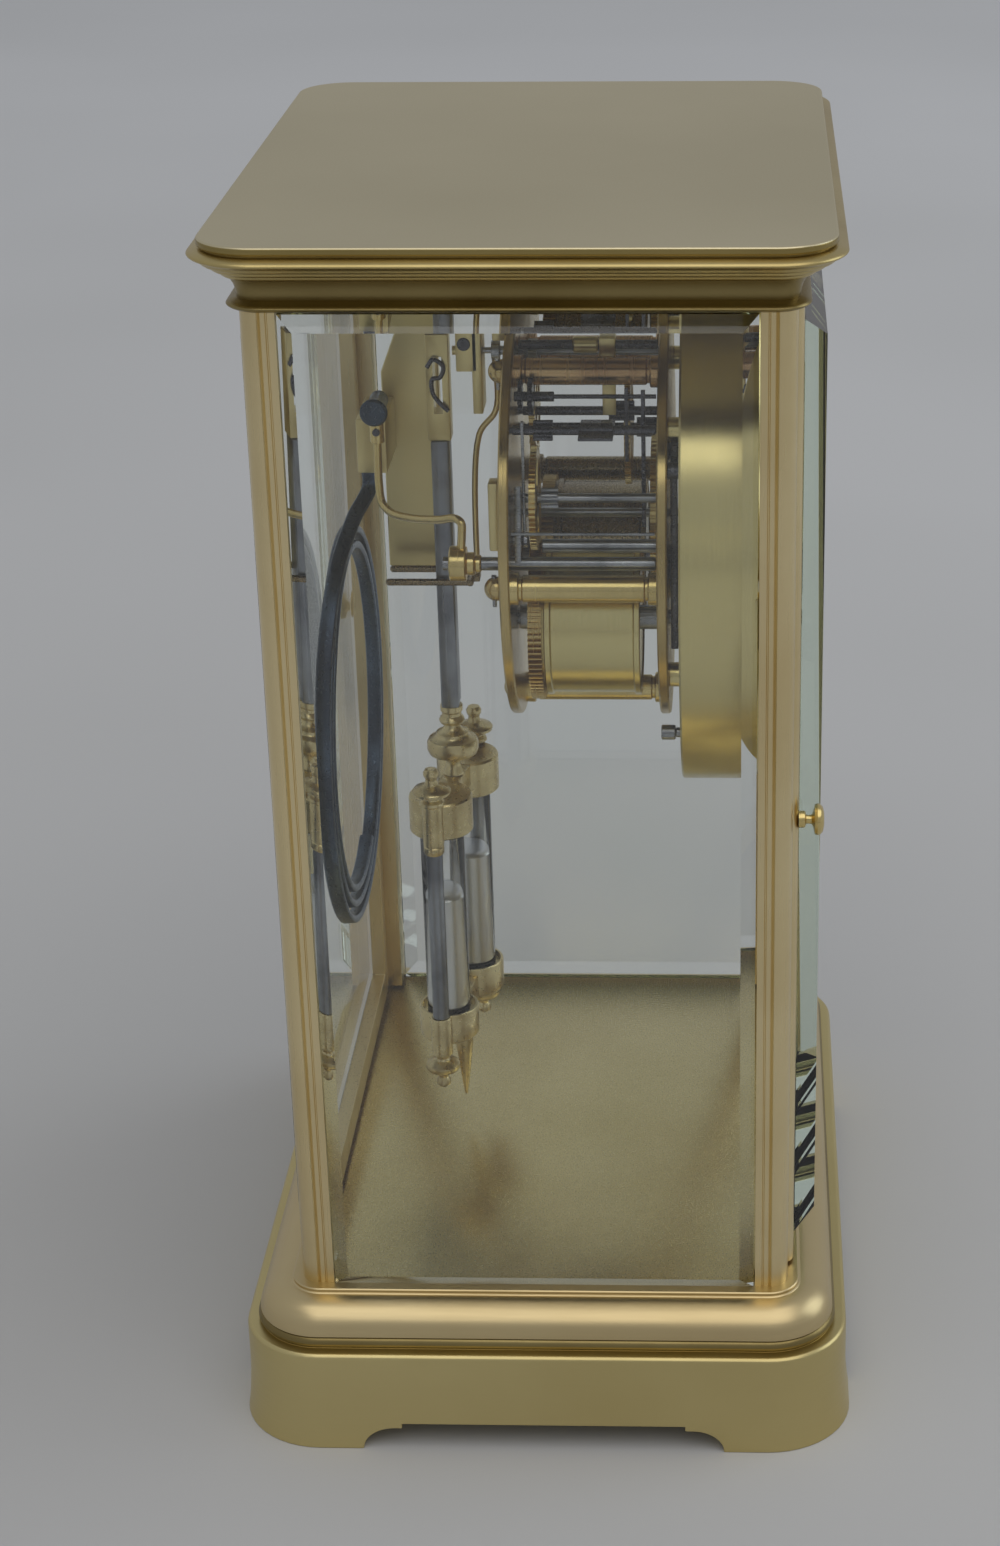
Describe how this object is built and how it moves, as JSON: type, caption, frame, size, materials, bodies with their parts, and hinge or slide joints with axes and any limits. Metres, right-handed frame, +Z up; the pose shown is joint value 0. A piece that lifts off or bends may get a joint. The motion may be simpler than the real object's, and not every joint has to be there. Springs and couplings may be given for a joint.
{
  "type": "four glass mantel clock",
  "caption": "Rectangular brass mantel clock case with bevelled glass on every side, a round striking movement with drum dial, a coil gong and a mercury vial pendulum.",
  "frame": {"origin": "on the standing plane, under the middle of the plinth", "axes": "+Z up, -Y towards the dial and the front door, +X to the right for someone facing the dial"},
  "size_m": [0.16, 0.122, 0.24],
  "materials": {
    "case_brass": "satin brushed, lightly lacquered",
    "movement_brass": "bright turned",
    "plate_glass": "polished plate, bevelled",
    "vial_glass": "clear tube",
    "steel": "drawn and filed",
    "blued_steel": "dark blued",
    "mercury": "liquid mirror",
    "enamel": "gloss white"
  },
  "bodies": {
    "case": {"plinth": "case_brass", "base_moulding": "case_brass", "floor_plate": "case_brass", "cornice": "case_brass", "top_plate": "case_brass", "post_front_left": "case_brass", "post_front_right": "case_brass", "post_rear_left": "case_brass", "post_rear_right": "case_brass", "side_glass_left": "plate_glass", "side_glass_right": "plate_glass", "front_hinge_pin_top": "case_brass", "front_hinge_pin_bottom": "case_brass", "rear_hinge_pin_top": "case_brass", "rear_hinge_pin_bottom": "case_brass", "front_plate": "movement_brass", "rear_plate": "movement_brass", "pillar_left": "movement_brass", "pillar_right": "movement_brass", "pillar_top_left": "movement_brass", "pillar_top_right": "movement_brass", "pillar_bottom": "movement_brass", "dial_drum": "case_brass", "dial": "enamel", "back_cock": "movement_brass", "gong": "blued_steel", "gong_block": "movement_brass", "gong_bracket": "movement_brass"},
    "front_door": {"front_door_frame": "case_brass", "front_door_glass": "plate_glass", "front_door_knob": "case_brass"},
    "rear_door": {"rear_door_frame": "case_brass", "rear_door_glass": "plate_glass", "rear_door_knob": "case_brass"},
    "minute_work": {"centre_wheel": "movement_brass", "minute_hand": "blued_steel"},
    "hour_work": {"hour_hand": "blued_steel"},
    "third_work": {"third_wheel": "movement_brass"},
    "escape_work": {"escape_wheel": "movement_brass"},
    "going_work": {"going_barrel": "movement_brass"},
    "strike_work": {"strike_barrel": "movement_brass"},
    "strike_wheel_work": {"strike_wheel": "movement_brass"},
    "fly_work": {"fly": "movement_brass"},
    "crutch_work": {"anchor": "steel", "crutch": "steel"},
    "hammer": {"hammer_arbor": "steel", "hammer_stem": "movement_brass", "hammer_head": "blued_steel"},
    "pendulum": {"suspension_spring": "steel", "pendulum_clip": "movement_brass", "pendulum_rod": "steel", "vase_nut": "movement_brass", "bob_top_bar": "movement_brass", "bob_bottom_bar": "movement_brass", "bob_rod_left": "steel", "bob_rod_right": "steel", "vial_left": "vial_glass", "vial_right": "vial_glass", "mercury_left": "mercury", "mercury_right": "mercury"}
  },
  "joints": [
    {"name": "front_door_hinge", "type": "hinge", "parent": "case", "child": "front_door", "pos_m": [0.0572, -0.047, 0.1289], "axis": [0, 0, 1], "range_deg": [0, 100]},
    {"name": "rear_door_hinge", "type": "hinge", "parent": "case", "child": "rear_door", "pos_m": [-0.0572, 0.047, 0.1289], "axis": [0, 0, 1], "range_deg": [0, 100]},
    {"name": "minute_arbor", "type": "hinge", "parent": "case", "child": "minute_work", "pos_m": [0, -0.02, 0.169], "axis": [0, 1, 0], "continuous": true},
    {"name": "hour_pipe", "type": "hinge", "parent": "case", "child": "hour_work", "pos_m": [0, -0.04, 0.169], "axis": [0, 1, 0], "continuous": true},
    {"name": "third_arbor", "type": "hinge", "parent": "case", "child": "third_work", "pos_m": [0.012, -0.01, 0.183], "axis": [0, 1, 0], "continuous": true},
    {"name": "escape_arbor", "type": "hinge", "parent": "case", "child": "escape_work", "pos_m": [0, -0.01, 0.19], "axis": [0, 1, 0], "continuous": true},
    {"name": "going_barrel_arbor", "type": "hinge", "parent": "case", "child": "going_work", "pos_m": [0.019, -0.01, 0.154], "axis": [0, 1, 0], "continuous": true},
    {"name": "strike_barrel_arbor", "type": "hinge", "parent": "case", "child": "strike_work", "pos_m": [-0.019, -0.01, 0.154], "axis": [0, 1, 0], "continuous": true},
    {"name": "strike_wheel_arbor", "type": "hinge", "parent": "case", "child": "strike_wheel_work", "pos_m": [-0.024, -0.01, 0.18], "axis": [0, 1, 0], "continuous": true},
    {"name": "fly_arbor", "type": "hinge", "parent": "case", "child": "fly_work", "pos_m": [-0.026, -0.01, 0.194], "axis": [0, 1, 0], "continuous": true},
    {"name": "pendulum_swing", "type": "hinge", "parent": "case", "child": "pendulum", "pos_m": [0, 0.0209, 0.214], "axis": [0, 1, 0], "range_deg": [-4, 4]},
    {"name": "crutch_swing", "type": "hinge", "parent": "case", "child": "crutch_work", "pos_m": [0, 0.0098, 0.2022], "axis": [0, 1, 0], "range_deg": [-5.2, 5.2]},
    {"name": "hammer_lift", "type": "hinge", "parent": "case", "child": "hammer", "pos_m": [-0.033, 0, 0.17], "axis": [0, -1, 0], "range_deg": [0, 22]}
  ],
  "couplings": [
    {"joint": "hour_pipe", "follows": "minute_arbor", "ratio": 0.083333},
    {"joint": "third_arbor", "follows": "minute_arbor", "ratio": -8},
    {"joint": "escape_arbor", "follows": "minute_arbor", "ratio": 43.2},
    {"joint": "going_barrel_arbor", "follows": "minute_arbor", "ratio": 0.125},
    {"joint": "strike_wheel_arbor", "follows": "strike_barrel_arbor", "ratio": -1.6},
    {"joint": "fly_arbor", "follows": "strike_barrel_arbor", "ratio": 24},
    {"joint": "crutch_swing", "follows": "pendulum_swing", "ratio": 1.253}
  ]
}
